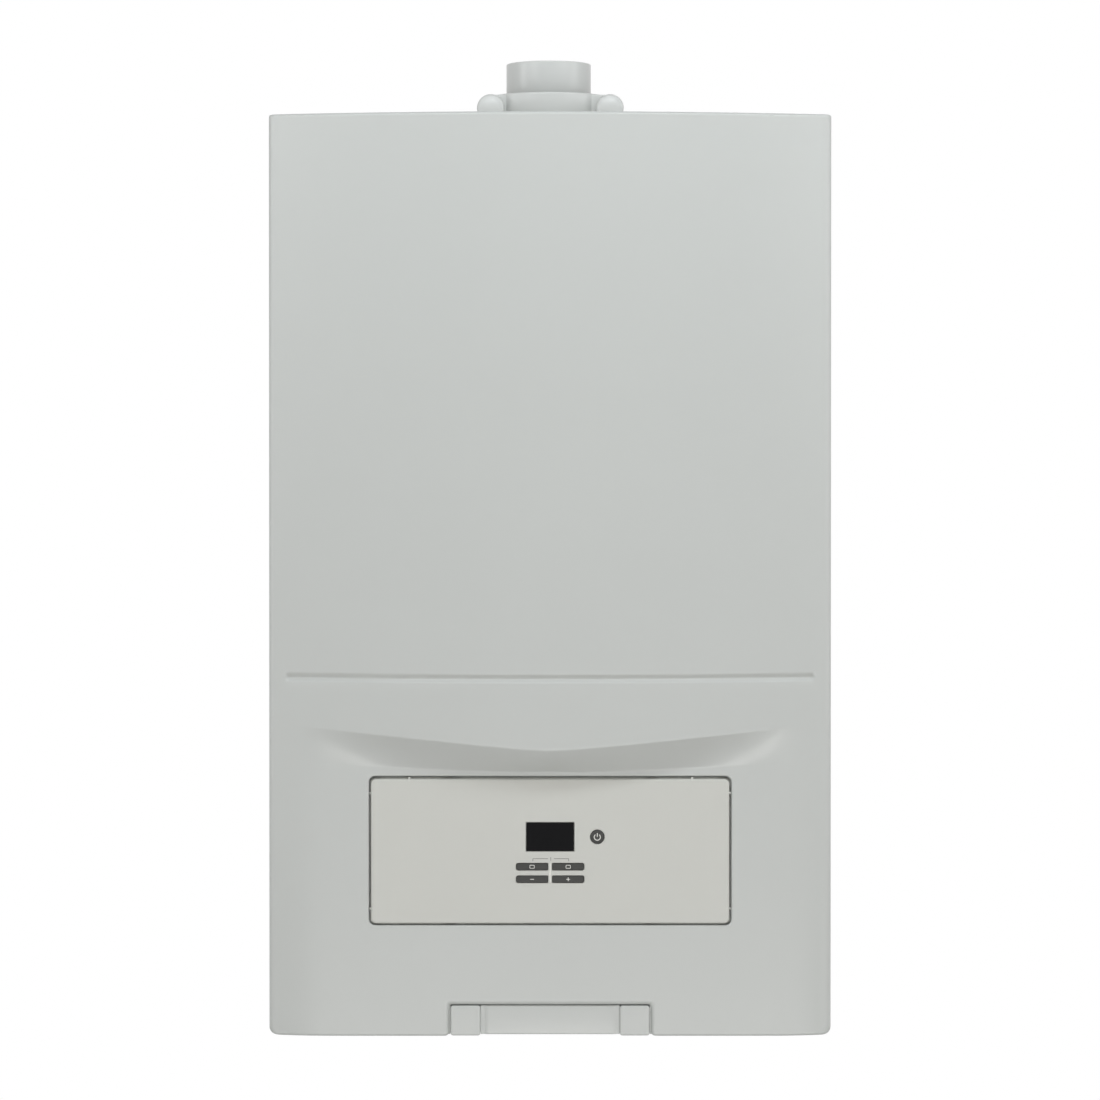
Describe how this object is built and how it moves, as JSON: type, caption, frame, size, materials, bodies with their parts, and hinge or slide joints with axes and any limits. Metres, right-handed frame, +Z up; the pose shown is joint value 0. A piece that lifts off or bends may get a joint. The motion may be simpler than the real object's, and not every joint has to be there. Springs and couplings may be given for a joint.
{
  "type": "combi boiler",
  "caption": "Wall-hung condensing combi boiler with a bowed sheet-steel cover, a fold-down control box behind a window, and a concentric flue connection on top.",
  "frame": {"origin": "on the wall plane, at the middle of the casing's width and height (the casing's bottom edge is 360 mm below)", "axes": "+Z up, +Y into the wall, +X to the right seen from the front; the front faces -Y"},
  "size_m": [0.44, 0.338, 0.7775],
  "materials": {
    "cover_paint": "light grey-white powder coat, satin",
    "galvanised_sheet": "galvanised sheet, dull",
    "warm_plastic": "moulded plastic, fine satin grain",
    "dark_plastic": "moulded plastic, dark grey",
    "flue_plastic": "moulded plastic, off-white",
    "black_window": "dark display window, glossy",
    "cast_aluminium": "cast aluminium, matt",
    "stainless": "stainless steel, pressed",
    "copper": null,
    "brass": "turned brass",
    "rubber": "moulded rubber, matt",
    "red_plastic": "moulded plastic, red",
    "vessel_paint": "red stove enamel on pressed steel",
    "board": "circuit board with green solder mask",
    "ceramic": "white glazed ceramic"
  },
  "bodies": {
    "chassis": {"side_panel_left": "cover_paint", "side_panel_right": "cover_paint", "top_panel": "cover_paint", "latch_bar": "cover_paint", "rear_frame": "galvanised_sheet", "base_plate": "galvanised_sheet", "cross_rail": "galvanised_sheet", "control_bracket": "galvanised_sheet", "fan_motor": "dark_plastic", "venturi": "dark_plastic", "intake_silencer": "dark_plastic", "pump_motor": "dark_plastic", "diverter_motor": "dark_plastic", "flue_collar": "flue_plastic", "flue_tube": "flue_plastic", "test_cap_left": "flue_plastic", "test_cap_right": "flue_plastic", "flue_duct": "flue_plastic", "condensate_siphon": "flue_plastic", "exchanger_housing": "cast_aluminium", "burner_door": "cast_aluminium", "burner_manifold": "cast_aluminium", "fan_housing": "cast_aluminium", "gas_valve": "cast_aluminium", "exchanger_coil": "stainless", "burner_tube": "stainless", "plate_heat_exchanger": "stainless", "gas_pipe": "copper", "flow_pipe": "copper", "return_pipe": "copper", "heating_flow_connection": "brass", "hot_water_connection": "brass", "gas_connection": "brass", "cold_water_connection": "brass", "heating_return_connection": "brass", "pump_housing": "brass", "air_vent": "brass", "safety_valve": "brass", "diverter_valve": "brass", "pressure_sensor": "brass", "flue_seal": "rubber", "door_seal": "rubber", "condensate_hose": "rubber", "expansion_vessel": "vessel_paint", "ignition_electrode": "ceramic"},
    "front_cover": {"front_cover": "cover_paint"},
    "control_box": {"control_box": "dark_plastic", "control_fascia": "warm_plastic", "circuit_board": "board", "display": "black_window"},
    "power_button": {"power_button": "dark_plastic"},
    "key_menu_left": {"key_menu_left": "dark_plastic"},
    "key_menu_right": {"key_menu_right": "dark_plastic"},
    "key_minus": {"key_minus": "dark_plastic"},
    "key_plus": {"key_plus": "dark_plastic"},
    "release_clip_left": {"release_clip_left": "cover_paint"},
    "release_clip_right": {"release_clip_right": "cover_paint"},
    "fan_impeller": {"fan_impeller": "dark_plastic"},
    "pump_impeller": {"pump_impeller": "dark_plastic"},
    "safety_valve_knob": {"safety_valve_knob": "red_plastic"}
  },
  "joints": [
    {"name": "control_box_fold", "type": "hinge", "parent": "chassis", "child": "control_box", "pos_m": [0, -0.3082, -0.2636], "axis": [1, 0, 0], "range_deg": [0, 90]},
    {"name": "cover_pull", "type": "slide", "parent": "chassis", "child": "front_cover", "axis": [0, -1, 0], "range_m": [0, 0.2]},
    {"name": "key_menu_left_press", "type": "slide", "parent": "control_box", "child": "key_menu_left", "axis": [0, 1, 0], "range_m": [0, 0.0008], "stiffness_N_per_m": 1500},
    {"name": "key_menu_right_press", "type": "slide", "parent": "control_box", "child": "key_menu_right", "axis": [0, 1, 0], "range_m": [0, 0.0008], "stiffness_N_per_m": 1500},
    {"name": "key_minus_press", "type": "slide", "parent": "control_box", "child": "key_minus", "axis": [0, 1, 0], "range_m": [0, 0.0008], "stiffness_N_per_m": 1500},
    {"name": "key_plus_press", "type": "slide", "parent": "control_box", "child": "key_plus", "axis": [0, 1, 0], "range_m": [0, 0.0008], "stiffness_N_per_m": 1500},
    {"name": "power_button_press", "type": "slide", "parent": "control_box", "child": "power_button", "axis": [0, 1, 0], "range_m": [0, 0.0008], "stiffness_N_per_m": 1500},
    {"name": "release_clip_left_press", "type": "slide", "parent": "chassis", "child": "release_clip_left", "axis": [0, 1, 0], "range_m": [0, 0.004], "stiffness_N_per_m": 1200},
    {"name": "release_clip_right_press", "type": "slide", "parent": "chassis", "child": "release_clip_right", "axis": [0, 1, 0], "range_m": [0, 0.004], "stiffness_N_per_m": 1200},
    {"name": "fan_spin", "type": "hinge", "parent": "chassis", "child": "fan_impeller", "pos_m": [0.105, -0.2774, -0.015], "axis": [0, 1, 0], "continuous": true},
    {"name": "pump_spin", "type": "hinge", "parent": "chassis", "child": "pump_impeller", "pos_m": [0.12, -0.125, -0.21], "axis": [0, 1, 0], "continuous": true},
    {"name": "safety_knob_turn", "type": "hinge", "parent": "chassis", "child": "safety_valve_knob", "pos_m": [0.19, -0.1475, -0.21], "axis": [0, 1, 0], "range_deg": [0, 90]}
  ]
}
